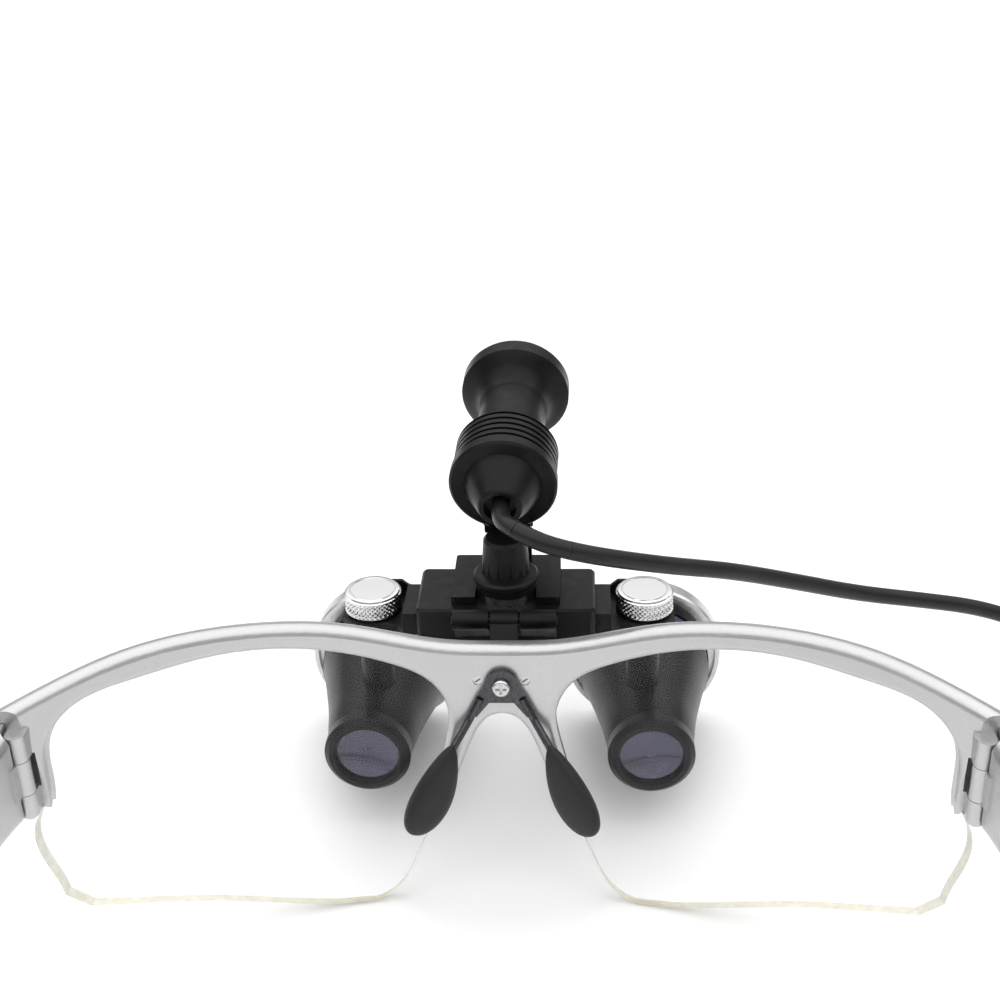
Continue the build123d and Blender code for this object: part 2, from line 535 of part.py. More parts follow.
for side, sign in SIDES:
    along = barrel_plane(sign)
    axis = Axis(along.origin, along.y_dir)

    with BuildPart() as housing:
        with BuildSketch(along):
            with BuildLine():
                Spline(HOUSING_PROFILE)
                Polyline(
                    HOUSING_PROFILE[-1],
                    (14.1, 32.4),
                    (14.1, HOUSING_END),
                    (OBJECTIVE_R + 0.2, HOUSING_END),
                    (OBJECTIVE_R + 0.2, OBJECTIVE_SEAT),
                    (10.6, OBJECTIVE_SEAT),
                    (6.2, RING_LENGTH + 1.4),
                    (5.2, RING_LENGTH),
                )
                Line((5.2, RING_LENGTH), HOUSING_PROFILE[0])
            make_face()
        revolve(axis=axis)
    save(housing, f"barrel_housing_{side}")

    with BuildPart() as ring:
        with BuildSketch(along):
            with BuildLine():
                Polyline(
                    (RING_R, RING_LENGTH),
                    (RING_R, 0.9),
                    (RING_R - 0.9, 0),
                    (5.9, 0),
                    (5.5, 0.9),
                    (5.5, 1.2),
                    (6.3, 1.2),
                    (6.3, RING_LENGTH),
                    close=True,
                )
            make_face()
        revolve(axis=axis)
    save(ring, f"eyepiece_ring_{side}")

    with BuildPart() as ocular:
        with BuildSketch(along):
            with BuildLine():
                Line((0, 1.9), (0, 2.5))
                dome(2.5, RING_LENGTH, 6.3)
                Line((6.3, RING_LENGTH), (6.3, 1.2))
                dome(1.9, 1.2, 6.3)
            make_face()
        revolve(axis=axis)
    save(ocular, f"ocular_lens_{side}")

    with BuildPart() as objective:
        with BuildSketch(along):
            with BuildLine():
                Line((0, 26.4), (0, 32.6))
                dome(32.6, 30.0, OBJECTIVE_R)
                Line((OBJECTIVE_R, 30.0), (OBJECTIVE_R, OBJECTIVE_SEAT))
                dome(26.4, OBJECTIVE_SEAT, OBJECTIVE_R)
            make_face()
        revolve(axis=axis)
    save(objective, f"objective_lens_{side}")

    with BuildPart() as retainer:
        with BuildSketch(along):
            with BuildLine():
                Polyline(
                    (OBJECTIVE_R + 0.2, 30.2),
                    (OBJECTIVE_R + 0.2, HOUSING_END),
                    (OBJECTIVE_R - 1.0, HOUSING_END),
                    (OBJECTIVE_R - 1.0, 30.6),
                    close=True,
                )
            make_face()
        revolve(axis=axis)
        add(objective.part, mode=Mode.SUBTRACT)
    save(retainer, f"lens_retainer_{side}")

    with BuildPart() as rim:
        with BuildSketch(along):
            with BuildLine():
                Polyline(
                    (14.1, 32.9),
                    (RIM_R - 0.3, 32.9),
                    (RIM_R, 33.4),
                    (RIM_R, BARREL_LENGTH - 0.6),
                    (RIM_R - 0.6, BARREL_LENGTH),
                    (OBJECTIVE_R + 0.4, BARREL_LENGTH),
                    (OBJECTIVE_R - 0.4, HOUSING_END),
                    (14.1, HOUSING_END),
                    close=True,
                )
            make_face()
        revolve(axis=axis)
    save(rim, f"objective_rim_{side}")

    with BuildPart() as post:
        with BuildSketch(Plane.XY.offset(BARREL_Z + 4)):
            with Locations(at(sign * NUT_X, NUT_Y, 0)):
                Circle(POST_R)
        extrude(amount=YOKE_FOOT - BARREL_Z - 4)
        with BuildSketch(Plane.XY.offset(YOKE_FOOT)):
            with Locations(at(sign * NUT_X, NUT_Y, 0)):
                Circle(STUD_R)
        extrude(amount=YOKE_TOP + NUT_HEIGHT - 1.0 - YOKE_FOOT)
        with BuildSketch(along):  # the telescope's own outline is taken out of the post
            with BuildLine():
                Spline(HOUSING_PROFILE)
                Polyline(HOUSING_PROFILE[-1], (0, HOUSING_OUTLINE_END), (0, RING_LENGTH), HOUSING_PROFILE[0])
            make_face()
        revolve(axis=axis, mode=Mode.SUBTRACT)
    save(post, f"barrel_post_{side}")

    with BuildPart() as arm:
        with BuildSketch(Plane.XY.offset(ARM_FOOT)):
            with Locations(at(sign * (ARM_INNER + ARM_OUTER) / 2, (ARM_REAR + ARM_FRONT) / 2, 0)):
                Rectangle(ARM_OUTER - ARM_INNER, ARM_FRONT - ARM_REAR)
        extrude(amount=ARM_TOP - ARM_FOOT)
        with BuildSketch(Plane.XY.offset(YOKE_FOOT)):
            with BuildLine():
                Polyline(
                    at(sign * (BLOCK_WIDTH / 2 + 0.6), ARM_REAR, 0),
                    at(sign * ARM_OUTER, ARM_REAR, 0),
                    at(sign * (ARM_OUTER + 1.6), YOKE_REAR, 0),
                    at(sign * (YOKE_OUTER - 2.4), YOKE_REAR, 0),
                    at(sign * YOKE_OUTER, YOKE_REAR + 2.4, 0),
                    at(sign * YOKE_OUTER, YOKE_FRONT - 2.4, 0),
                    at(sign * (YOKE_OUTER - 2.4), YOKE_FRONT, 0),
                    at(sign * ARM_OUTER, YOKE_FRONT, 0),
                    at(sign * (BLOCK_WIDTH / 2 + 0.6), ARM_FRONT, 0),
                    close=True,
                )
            make_face()
        extrude(amount=YOKE_TOP - YOKE_FOOT)
        # a low fence ahead of the nut, with one corner cut off
        with BuildSketch(Plane.XZ.offset(-(YOKE_FRONT + FRONT_Y))):
            with BuildLine():
                Polyline(
                    (sign * ARM_OUTER, YOKE_TOP),
                    (sign * ARM_OUTER, ARM_TOP - 1.8),
                    (sign * (ARM_OUTER + 1.4), ARM_TOP - 0.6),
                    (sign * (YOKE_OUTER - 4.4), ARM_TOP - 0.6),
                    (sign * (YOKE_OUTER - 2.6), YOKE_TOP),
                    close=True,
                )
            make_face()
        extrude(amount=0.7)
        with BuildSketch(Plane.XY.offset(YOKE_FOOT)):
            with Locations(at(sign * NUT_X, NUT_Y, 0)):
                Circle(STUD_R)
        extrude(amount=YOKE_TOP - YOKE_FOOT, mode=Mode.SUBTRACT)
    save(arm, f"slide_arm_{side}")

    with BuildPart() as nut:
        with BuildSketch(Plane.XY.offset(YOKE_TOP)):
            with Locations(at(sign * NUT_X, NUT_Y, 0)):
                Circle(NUT_R)
        extrude(amount=NUT_HEIGHT)
        chamfer(nut.edges().filter_by(GeomType.CIRCLE), 0.35)
        with BuildSketch(Plane.XY.offset(YOKE_TOP)):
            with Locations(at(sign * NUT_X, NUT_Y, 0)):
                Circle(STUD_R + RUNNING)
        extrude(amount=NUT_HEIGHT - 0.8, mode=Mode.SUBTRACT)
    save(nut, f"thumb_nut_{side}")

# ==== lamp ================================================================================================
# pan_plane stands on the pan axis: x to the lamp's right, y ahead of the lamp, z up.
yaw = radians(PAN_YAW)
pan_plane = Plane(origin=at(0, PAN_Y, 0), x_dir=(cos(yaw), -sin(yaw), 0), z_dir=(0, 0, 1))
tilt_plane = Plane(  # square to the tilt pin: x ahead, y up, z to the lamp's right
    origin=pan_plane.from_local_coords((0, TILT_AHEAD, TILT_Z)),
    x_dir=pan_plane.y_dir,
    z_dir=pan_plane.x_dir,
)
lamp_ahead = pan_plane.y_dir * cos(radians(LAMP_TILT)) + Vector(0, 0, sin(radians(LAMP_TILT)))
lamp_plane = Plane(  # x to the lamp's right, y along its axis from the rear ring
    origin=pan_plane.from_local_coords((0, LAMP_REAR_AHEAD, LAMP_REAR_Z)),
    x_dir=pan_plane.x_dir,
    z_dir=pan_plane.x_dir.cross(lamp_ahead),
)
lamp_axis = Axis(lamp_plane.origin, lamp_plane.y_dir)

with BuildPart() as lamp_shoe:
    with BuildSketch(Plane.XY.offset(BLOCK_TOP)):
        with Locations(at(0, (SHOE_REAR + SHOE_FRONT) / 2, 0)):
            RectangleRounded(SHOE_WIDTH, SHOE_FRONT - SHOE_REAR, 0.6)
        with Locations(at(0, PAN_Y, 0)):
            Circle(NOTCH_R, mode=Mode.SUBTRACT)
        with Locations(at(0, (SHOE_REAR + PAN_Y) / 2 - 1, 0)):
            Rectangle(2 * NOTCH_R, PAN_Y - SHOE_REAR + 2, mode=Mode.SUBTRACT)
    extrude(amount=SHOE_TOP - BLOCK_TOP)
    # the lip that hooks over the front of the crossbar
    with BuildSketch(Plane.XY.offset(BLOCK_TOP - 3.6)):
        with Locations(at(0, (BLOCK_FRONT + SHOE_FRONT) / 2 + 0.1, 0)):
            RectangleRounded(SHOE_WIDTH, SHOE_FRONT - BLOCK_FRONT - 0.2, 0.6)
    extrude(amount=3.8)
save(lamp_shoe, "lamp_shoe")

with BuildPart() as lamp_stud:
    with BuildSketch(Plane.XY.offset(BLOCK_TOP)):
        with Locations(at(0, PAN_Y, 0)):
            Circle(NOTCH_R - 0.2)
    extrude(amount=SHOE_TOP - BLOCK_TOP + 0.1)
    with BuildSketch(Plane.XY.offset(SHOE_TOP)):
        with Locations(at(0, PAN_Y, 0)):
            Circle(STUD_R)
    extrude(amount=KNOB_TOP - 1.8 - SHOE_TOP)
save(lamp_stud, "lamp_stud")

FOOT_PLATE = 1.2
BRACKET_WIDTH = 8.0
LEG_THICKNESS = 1.6
TILT_KNUCKLE_R = 2.0
MIDDLE_KNUCKLE = 3.4
with BuildPart() as lamp_bracket:
    with BuildSketch(pan_plane.offset(SHOE_TOP + 0.1)):
        Circle(NOTCH_R)
        with Locations((0, (TILT_AHEAD + LEG_THICKNESS / 2) / 2)):
            Rectangle(BRACKET_WIDTH, TILT_AHEAD + LEG_THICKNESS / 2)
        Circle(STUD_R + RUNNING, mode=Mode.SUBTRACT)
    extrude(amount=FOOT_PLATE)
    with BuildSketch(tilt_plane.offset(-BRACKET_WIDTH / 2)):
        with Locations((0, (SHOE_TOP + 0.1 - TILT_Z + 51.6 - TILT_Z) / 2)):
            Rectangle(LEG_THICKNESS, 51.6 - SHOE_TOP - 0.1)
    extrude(amount=BRACKET_WIDTH)
    with BuildSketch(tilt_plane.offset(-MIDDLE_KNUCKLE / 2)):
        Circle(TILT_KNUCKLE_R)
        with Locations((0, (51.6 - TILT_Z) / 2)):
            Rectangle(LEG_THICKNESS + 1.6, TILT_Z - 51.6)
    extrude(amount=MIDDLE_KNUCKLE)
    with BuildSketch(tilt_plane.offset(-MIDDLE_KNUCKLE / 2)):
        Circle(TILT_PIN_R)
    extrude(amount=MIDDLE_KNUCKLE, mode=Mode.SUBTRACT)
save(lamp_bracket, "lamp_bracket")

with BuildPart() as tilt_pin:
    with BuildSketch(tilt_plane.offset(-BRACKET_WIDTH / 2 - 0.3)):
        Circle(TILT_PIN_R)
    extrude(amount=BRACKET_WIDTH + 0.6)
save(tilt_pin, "tilt_pin")

FLUTES = 14
with BuildPart() as lamp_knob:
    with BuildSketch(Plane(origin=at(0, PAN_Y, 0), x_dir=(0, 1, 0), z_dir=(1, 0, 0))):
        with BuildLine():
            Polyline(
                (0, KNOB_FOOT),
                (FLANGE_R - 0.3, KNOB_FOOT),
                (FLANGE_R, KNOB_FOOT + 0.4),
                (FLANGE_R, KNOB_FOOT + 1.0),
                (FLANGE_R - 0.4, KNOB_FOOT + 1.4),
                (KNOB_R, KNOB_FOOT + 1.6),
                (KNOB_R - 0.5, KNOB_TOP - 0.5),
                (KNOB_R - 0.9, KNOB_TOP),
                (0, KNOB_TOP),
                close=True,
            )
        make_face()
    revolve(axis=Axis(at(0, PAN_Y, 0), (0, 0, 1)))
    with BuildSketch(Plane(origin=at(0, PAN_Y, KNOB_FOOT + 1.9), z_dir=(0, 0, 1))):
        with PolarLocations(KNOB_R + 0.45, FLUTES):
            Circle(0.72)
    extrude(amount=KNOB_TOP - KNOB_FOOT - 3.0, mode=Mode.SUBTRACT)
    with BuildSketch(Plane.XY.offset(KNOB_FOOT)):
        with Locations(at(0, PAN_Y, 0)):
            Circle(STUD_R + RUNNING)
    extrude(amount=KNOB_TOP - 1.4 - KNOB_FOOT, mode=Mode.SUBTRACT)
save(lamp_knob, "lamp_knob")

CONE_LENGTH = 6.0
RING_END = 2.2
SINK_END = 9.7
SINK_R = 8.8
GROOVES = 5
GROOVE_PITCH = 1.5
CABLE_HOLE_R = 2.7
with BuildPart() as lamp_rear_cap:
    with BuildSketch(lamp_plane):
        with BuildLine():
            Polyline(
                (CABLE_HOLE_R, -CONE_LENGTH),
                (3.4, -CONE_LENGTH),
                (3.7, -CONE_LENGTH + 0.3),
                (6.6, 0),
                (8.7, 0),
                (9.1, 0.4),
                (9.1, RING_END),
                (6.0, RING_END),
                (6.0, 1.0),
                (CABLE_HOLE_R, 1.0),
                close=True,
            )
        make_face()
    revolve(axis=lamp_axis)
save(lamp_rear_cap, "lamp_rear_cap")

with BuildPart() as lamp_heat_sink:
    with BuildSketch(lamp_plane):
        with BuildLine():
            Polyline(
                (SINK_R, RING_END),
                (SINK_R, SINK_END - 0.3),
                (SINK_R - 0.3, SINK_END),
                (5.0, SINK_END),
                (5.0, 6.4),
                (6.4, 6.4),
                (6.4, RING_END),
                close=True,
            )
        make_face()
        for i in range(GROOVES):
            with Locations((SINK_R, RING_END + 0.75 + i * GROOVE_PITCH)):
                Rectangle(1.8, 0.62, mode=Mode.SUBTRACT)
    revolve(axis=lamp_axis)
    # two ears reach down to the tilt pin
    ear_width = (BRACKET_WIDTH - MIDDLE_KNUCKLE) / 2 - 0.1
    for ear in (-BRACKET_WIDTH / 2, BRACKET_WIDTH / 2 - ear_width):
        with BuildSketch(tilt_plane.offset(ear)):
            Circle(TILT_KNUCKLE_R)
            with Locations((0, 2.0)):
                Rectangle(2 * TILT_KNUCKLE_R, 4.0)
            Circle(TILT_PIN_R + RUNNING, mode=Mode.SUBTRACT)
        extrude(amount=ear_width)
save(lamp_heat_sink, "lamp_heat_sink")

NECK_R = 5.9
HEAD_FLARE = [(NECK_R, 22.0), (6.15, 23.8), (7.1, 25.4), (8.5, 26.5), (9.65, 27.4)]
with BuildPart() as lamp_head:
    with BuildSketch(lamp_plane):
        with BuildLine():
            Spline(HEAD_FLARE)
            Polyline(
                (9.65, 27.4),
                (9.65, 30.2),
                (9.2, 31.1),
                (8.6, LAMP_LENGTH),
                (8.3, LAMP_LENGTH),
                (8.3, 28.0),
                (5.0, 25.0),
                (4.6, 11.2),
                (4.6, SINK_END),
                (NECK_R, SINK_END),
                (NECK_R, 22.0),
            )
        make_face()
    revolve(axis=lamp_axis)
save(lamp_head, "lamp_head")

with BuildPart() as led_board:
    with BuildSketch(lamp_plane):
        with Locations((3.1, 5.8)):
            Rectangle(6.2, 1.2)
    revolve(axis=lamp_axis)
save(led_board, "led_board")

with BuildPart() as led_emitter:
    with BuildSketch(lamp_plane):
        with BuildLine():
            Polyline((0, 8.5), (0, 6.4), (2.4, 6.4), (2.4, 7.2), (1.6, 7.2))
            dome(8.5, 7.2, 1.6)
        make_face()
    revolve(axis=lamp_axis)
save(led_emitter, "led_emitter")

with BuildPart() as lamp_lens:
    with BuildSketch(lamp_plane):
        with BuildLine():
            Polyline((0, 30.6), (0, 9.8), (4.3, 11.6), (4.7, 24.9), (7.9, 28.1), (8.0, 29.6))
            dome(30.6, 29.6, 8.0)
        make_face()
    revolve(axis=lamp_axis)
save(lamp_lens, "lamp_lens")

with BuildPart() as lamp_lens_ring:
    with BuildSketch(lamp_plane):
        with BuildLine():
            Polyline(
                (8.3, 28.6),
                (8.3, LAMP_LENGTH - 0.2),
                (7.3, LAMP_LENGTH - 0.2),
                (7.0, 30.2),
                (8.0, 30.0),
                (8.0, 28.6),
                close=True,
            )
        make_face()
    revolve(axis=lamp_axis)
    add(lamp_lens.part, mode=Mode.SUBTRACT)
save(lamp_lens_ring, "lamp_lens_ring")

GROMMET_REAR = -4.0
with BuildPart() as cable_grommet:
    with BuildSketch(lamp_plane):
        with BuildLine():
            Polyline(
                (CABLE_R, GROMMET_REAR),
                (CABLE_HOLE_R, GROMMET_REAR),
                (CABLE_HOLE_R, 1.0),
                (4.0, 1.0),
                (4.0, 1.8),
                (CABLE_R, 1.8),
                close=True,
            )
        make_face()
    revolve(axis=lamp_axis)
save(cable_grommet, "cable_grommet")

with BuildPart() as inner_lead:
    with BuildSketch(lamp_plane):
        with Locations((CABLE_R / 2, (GROMMET_REAR + 5.2) / 2)):
            Rectangle(CABLE_R, 5.2 - GROMMET_REAR)
    revolve(axis=lamp_axis)
save(inner_lead, "inner_lead")

# ==== lead ================================================================================================
# The lead is a 1.5 m cord of limp cable: a free run from the lamp down to the floor, a put-away coil of
# twelve and a quarter turns, three side by side and four layers high, and a short tail with the plug.
COIL_CORNER = 3.6
TIE_WIDTH = 5.0
TIE_THICKNESS = 0.9
TIE_CORNER = 4.0
CORNER_SHARE = 0.45


def tube_path(points):
    """Straight runs joined by tangent arcs, each as large as its two runs allow."""
    radii = []
    for before, corner, after in zip(points, points[1:], points[2:]):
        arriving = corner - before
        leaving = after - corner
        half_turn = radians(arriving.get_angle(leaving)) / 2
        radii.append(CORNER_SHARE * min(arriving.length, leaving.length) / tan(half_turn))
    print("arc radii, mm:", [round(radius, 1) for radius in radii])
    return FilletPolyline(*points, radius=radii)


def check_tube(piece, path):
    """Prints a tube's volume over its section times its length."""
    length = sum(edge.length for edge in path.edges())
    fill = piece.volume / (pi * CABLE_R**2 * length)
    print(piece.label, "length, mm:", round(length, 1), "fill:", round(fill, 4))


lead_points = [
    lamp_plane.from_local_coords((0, GROMMET_REAR, 0)),
    lamp_plane.from_local_coords((0, GROMMET_REAR - 4.4, 0)),
    at(2.0, 15.6, 63.9),
    at(6.6, 13.4, 62.4),
    at(12.4, 14.4, 60.1),
    at(19.2, 18.4, 56.6),
    at(28.0, 24.4, 52.0),
    at(39.0, 32.0, 46.7),
    at(51.5, 40.4, 39.6),
    at(64.0, 47.2, 33.2),
    at(77.0, 51.8, 29.0),
    at(88.5, 55.6, 25.2),
    at(98.5, 57.8, 20.6),
    at(107.5, 59.3, 15.0),
    at(116.5, 60.6, 9.0),
    at(126.0, 62.2, 4.0),
    at(136.0, 63.8, 1.8),
    at(147.0, 64.4, 1.65),
]
with BuildPart() as cable:
    with BuildLine() as cable_path:
        tube_path(lead_points)
    with BuildSketch(cable_path.line ^ 0):
        Circle(CABLE_R)
    sweep(path=cable_path.line)
save(cable, "cable")
check_tube(cable.part, cable_path.line)

with BuildPart() as cable_coil:
    with BuildSketch(Plane(origin=at(COIL_X, COIL_Y, 0), x_dir=(1, 0, 0), z_dir=(0, -1, 0))):
        with Locations((COIL_MEAN_R, COIL_HEIGHT / 2)):
            RectangleRounded(COIL_WIDTH, COIL_HEIGHT, COIL_CORNER)
    revolve(axis=Axis(at(COIL_X, COIL_Y, 0), (0, 0, 1)))
save(cable_coil, "cable_coil")

with BuildPart() as coil_tie:
    with BuildSketch(Plane.XZ.offset(-(COIL_Y + FRONT_Y) - TIE_WIDTH / 2)):
        with Locations((COIL_X - COIL_MEAN_R, (COIL_HEIGHT + TIE_THICKNESS) / 2)):
            RectangleRounded(COIL_WIDTH + 2 * TIE_THICKNESS, COIL_HEIGHT + TIE_THICKNESS, TIE_CORNER)
            RectangleRounded(
                COIL_WIDTH - 0.2,
                COIL_HEIGHT - TIE_THICKNESS,
                TIE_CORNER - TIE_THICKNESS,
                mode=Mode.SUBTRACT,
            )
    extrude(amount=TIE_WIDTH)
save(coil_tie, "coil_tie")

BOOT_LENGTH = 9.0
PLUG_R = 4.0
PLUG_LENGTH = 25.0
SLEEVE_R = 1.75
SLEEVE_LENGTH = 9.5
tail_points = [
    at(181.9, 34.0, 9.0),
    at(181.6, 24.0, 6.4),
    at(180.4, 13.0, 3.2),
    at(177.6, 2.0, 1.8),
    at(175.0, -9.0, 2.4),
    at(174.2, -19.0, 4.1),
    at(174.2, -29.0, 4.1),
]
with BuildPart() as cable_tail:
    with BuildLine() as tail_path:
        tube_path(tail_points)
    with BuildSketch(tail_path.line ^ 0):
        Circle(CABLE_R)
    sweep(path=tail_path.line)
save(cable_tail, "cable_tail")
check_tube(cable_tail.part, tail_path.line)

# plug_plane stands on the tail's end: x across, z along the plug
plug_plane = Plane(origin=tail_points[-1], x_dir=(1, 0, 0), z_dir=(0, -1, 0))
with BuildPart() as plug_boot:
    with BuildSketch(Plane(origin=plug_plane.origin, x_dir=(1, 0, 0), z_dir=(0, 0, 1))):
        with BuildLine():
            Polyline(
                (0, 0),
                (1.9, 0),
                (2.2, -0.4),
                (3.4, 0.4 - BOOT_LENGTH),
                (3.4, -BOOT_LENGTH),
                (0, -BOOT_LENGTH),
                close=True,
            )
        make_face()
        with Locations(*[(2.9 + 0.15 * i, -2.0 - 1.8 * i) for i in range(4)]):
            Rectangle(1.0, 0.8, mode=Mode.SUBTRACT)
    revolve(axis=Axis(plug_plane.origin, plug_plane.z_dir))
save(plug_boot, "plug_boot")

with BuildPart() as plug_body:
    with BuildSketch(plug_plane.offset(BOOT_LENGTH)):
        Circle(PLUG_R)
    extrude(amount=PLUG_LENGTH)
    fillet(plug_body.edges().filter_by(GeomType.CIRCLE), 0.6)
save(plug_body, "plug_body")

with BuildPart() as plug_sleeve:
    with BuildSketch(plug_plane.offset(BOOT_LENGTH + PLUG_LENGTH)):
        Circle(SLEEVE_R)
        Circle(SLEEVE_R - 0.5, mode=Mode.SUBTRACT)
    extrude(amount=SLEEVE_LENGTH)
save(plug_sleeve, "plug_sleeve")

with BuildPart() as plug_insulator:
    with BuildSketch(plug_plane.offset(BOOT_LENGTH + PLUG_LENGTH)):
        Circle(SLEEVE_R - 0.5)
        Circle(0.7, mode=Mode.SUBTRACT)
    extrude(amount=SLEEVE_LENGTH)
save(plug_insulator, "plug_insulator")
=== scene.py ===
"""Dental loupes in Blender: camera, lead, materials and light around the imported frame.

Units are metres. +X is the wearer's right, +Y is forward and +Z is up. The loupes stand on the floor,
Z = 0. Positions given to at() are millimetres, with Y counted from the line where the lenses touch the
floor, as in the part's own design.
"""

import json
import math

import bmesh
import bpy
from mathutils import Euler, Matrix, Vector


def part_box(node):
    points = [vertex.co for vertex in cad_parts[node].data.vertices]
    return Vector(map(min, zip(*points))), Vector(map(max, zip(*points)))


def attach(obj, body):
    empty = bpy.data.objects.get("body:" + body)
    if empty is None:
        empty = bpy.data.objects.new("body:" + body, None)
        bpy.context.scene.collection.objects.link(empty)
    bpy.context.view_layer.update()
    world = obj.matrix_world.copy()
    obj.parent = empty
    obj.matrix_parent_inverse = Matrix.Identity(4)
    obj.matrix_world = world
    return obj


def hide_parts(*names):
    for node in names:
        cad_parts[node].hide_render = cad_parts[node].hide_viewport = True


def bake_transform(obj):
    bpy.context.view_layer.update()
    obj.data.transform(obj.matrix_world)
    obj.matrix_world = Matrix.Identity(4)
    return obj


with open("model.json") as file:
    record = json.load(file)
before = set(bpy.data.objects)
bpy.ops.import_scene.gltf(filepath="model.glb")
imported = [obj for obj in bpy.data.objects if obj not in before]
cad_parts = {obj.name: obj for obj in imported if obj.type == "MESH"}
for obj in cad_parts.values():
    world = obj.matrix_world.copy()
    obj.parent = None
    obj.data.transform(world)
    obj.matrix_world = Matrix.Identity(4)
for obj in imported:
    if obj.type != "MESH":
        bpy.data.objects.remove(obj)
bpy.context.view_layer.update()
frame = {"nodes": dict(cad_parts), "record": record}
nodes = frame["nodes"]

MM = 0.001
FRONT_Y = 41.5  # the lens contact line, ahead of the origin, in millimetres
SIDES = (("left", -1), ("right", 1))


def at(x, y, z):
    """A point of the design, in metres in the row frame."""
    return Vector((x, y + FRONT_Y, z)) * MM


# ==== camera ==============================================================================================
CAMERA_PLACE = at(13.0, -194.5, 176.2)
CAMERA_PITCH = 27.0  # degrees below the horizon
CAMERA_YAW = 3.49  # degrees to the left of straight ahead
CAMERA_ROLL = -1.79  # degrees about the line of sight
LENS_MM = 54.0
SENSOR_MM = 36.0


def add_camera():
    """The camera, looking forward and down from the wearer's side."""
    data = bpy.data.cameras.new("camera")
    data.lens = LENS_MM
    data.sensor_width = SENSOR_MM
    data.clip_start = 0.01
    camera = bpy.data.objects.new("camera", data)
    camera.location = CAMERA_PLACE
    look = Euler((math.radians(90 - CAMERA_PITCH), 0, math.radians(CAMERA_YAW))).to_matrix()
    roll = Matrix.Rotation(math.radians(CAMERA_ROLL), 3, "Z")
    camera.rotation_euler = (look @ roll).to_euler()
    bpy.context.scene.collection.objects.link(camera)
    bpy.context.scene.camera = camera


add_camera()

# ==== the lead ============================================================================================
CABLE_R = 1.5 * MM
COIL_X = 163.0
COIL_Y = 44.0
COIL_MEAN_R = 16.5
COIL_ROWS = 4
COIL_COLUMNS = 3
COLUMN_PITCH = 3.1
ROW_PITCH = 2.65
ROW_SHIFT = 0.75  # each layer lies in the hollows of the one below
FIRST_ROW_UP = 1.6
CROSSING_START = 0.66  # the share of a turn after which it crosses to the next turn's place
WOBBLE = 0.18
POINTS_PER_TURN = 16
LAST_QUARTER = 5  # points of the quarter turn from which the tail leaves

free_run = [
    (-0.2, 24.07, 64.36),
    (-0.4, 19.75, 63.54),
    (2.0, 15.6, 63.9),
    (6.6, 13.4, 62.4),
    (12.4, 14.4, 60.1),
    (19.2, 18.4, 56.6),
    (28.0, 24.4, 52.0),
    (39.0, 32.0, 46.7),
    (51.5, 40.4, 39.6),
    (64.0, 47.2, 33.2),
    (77.0, 51.8, 29.0),
    (88.5, 55.6, 25.2),
    (98.5, 57.8, 20.6),
    (107.5, 59.3, 15.0),
    (116.5, 60.6, 9.0),
    (126.0, 62.2, 4.0),
    (136.0, 63.8, 1.8),
    (147.0, 64.4, 1.65),
]
tail_run = [
    (181.9, 34.0, 9.0),
    (181.6, 24.0, 6.4),
    (180.4, 13.0, 3.2),
    (177.6, 2.0, 1.8),
    (175.0, -9.0, 2.4),
    (174.2, -19.0, 4.1),
    (174.2, -29.0, 4.1),
]


def coil_slot(turn):
    """Radius and height of a turn: three side by side, and four layers high, wound there and back."""
    row = turn // COIL_COLUMNS
    column = turn % COIL_COLUMNS
    outwards = row % 2 == 1
    place = column - 1 if outwards else 1 - column
    shift = -ROW_SHIFT if outwards else ROW_SHIFT
    return COIL_MEAN_R + COLUMN_PITCH * place + shift, FIRST_ROW_UP + ROW_PITCH * row


def coil_points():
    """The turns of the coil, clockwise from above, starting at its far side."""
    turns = COIL_ROWS * COIL_COLUMNS
    points = []
    for step in range(turns * POINTS_PER_TURN + LAST_QUARTER):
        turn, part = divmod(step, POINTS_PER_TURN)
        radius, height = coil_slot(min(turn, turns - 1))
        if turn < turns - 1:
            next_radius, next_height = coil_slot(turn + 1)
            share = max(0.0, (part / POINTS_PER_TURN - CROSSING_START) / (1 - CROSSING_START))
            radius += (next_radius - radius) * share
            height += (next_height - height) * share
        angle = math.radians(90) - 2 * math.pi * step / POINTS_PER_TURN
        reach = radius + WOBBLE * math.sin(2.3 * step)
        points.append((COIL_X + reach * math.cos(angle), COIL_Y + reach * math.sin(angle), height))
    return points


def spline_line(points):
    """Points along the smooth NURBS curve with these control points, in metres."""
    curve = bpy.data.curves.new("route", "CURVE")
    curve.dimensions = "3D"
    curve.resolution_u = 8
    spline = curve.splines.new("NURBS")
    spline.points.add(len(points) - 1)
    for knot, point in zip(spline.points, points):
        knot.co = (*at(*point), 1)
    spline.order_u = 3
    spline.use_endpoint_u = True
    holder = bpy.data.objects.new("route", curve)
    mesh = bpy.data.meshes.new_from_object(holder)
    line = [vertex.co.copy() for vertex in mesh.vertices]
    bpy.data.meshes.remove(mesh)
    bpy.data.objects.remove(holder)
    bpy.data.curves.remove(curve)
    return line


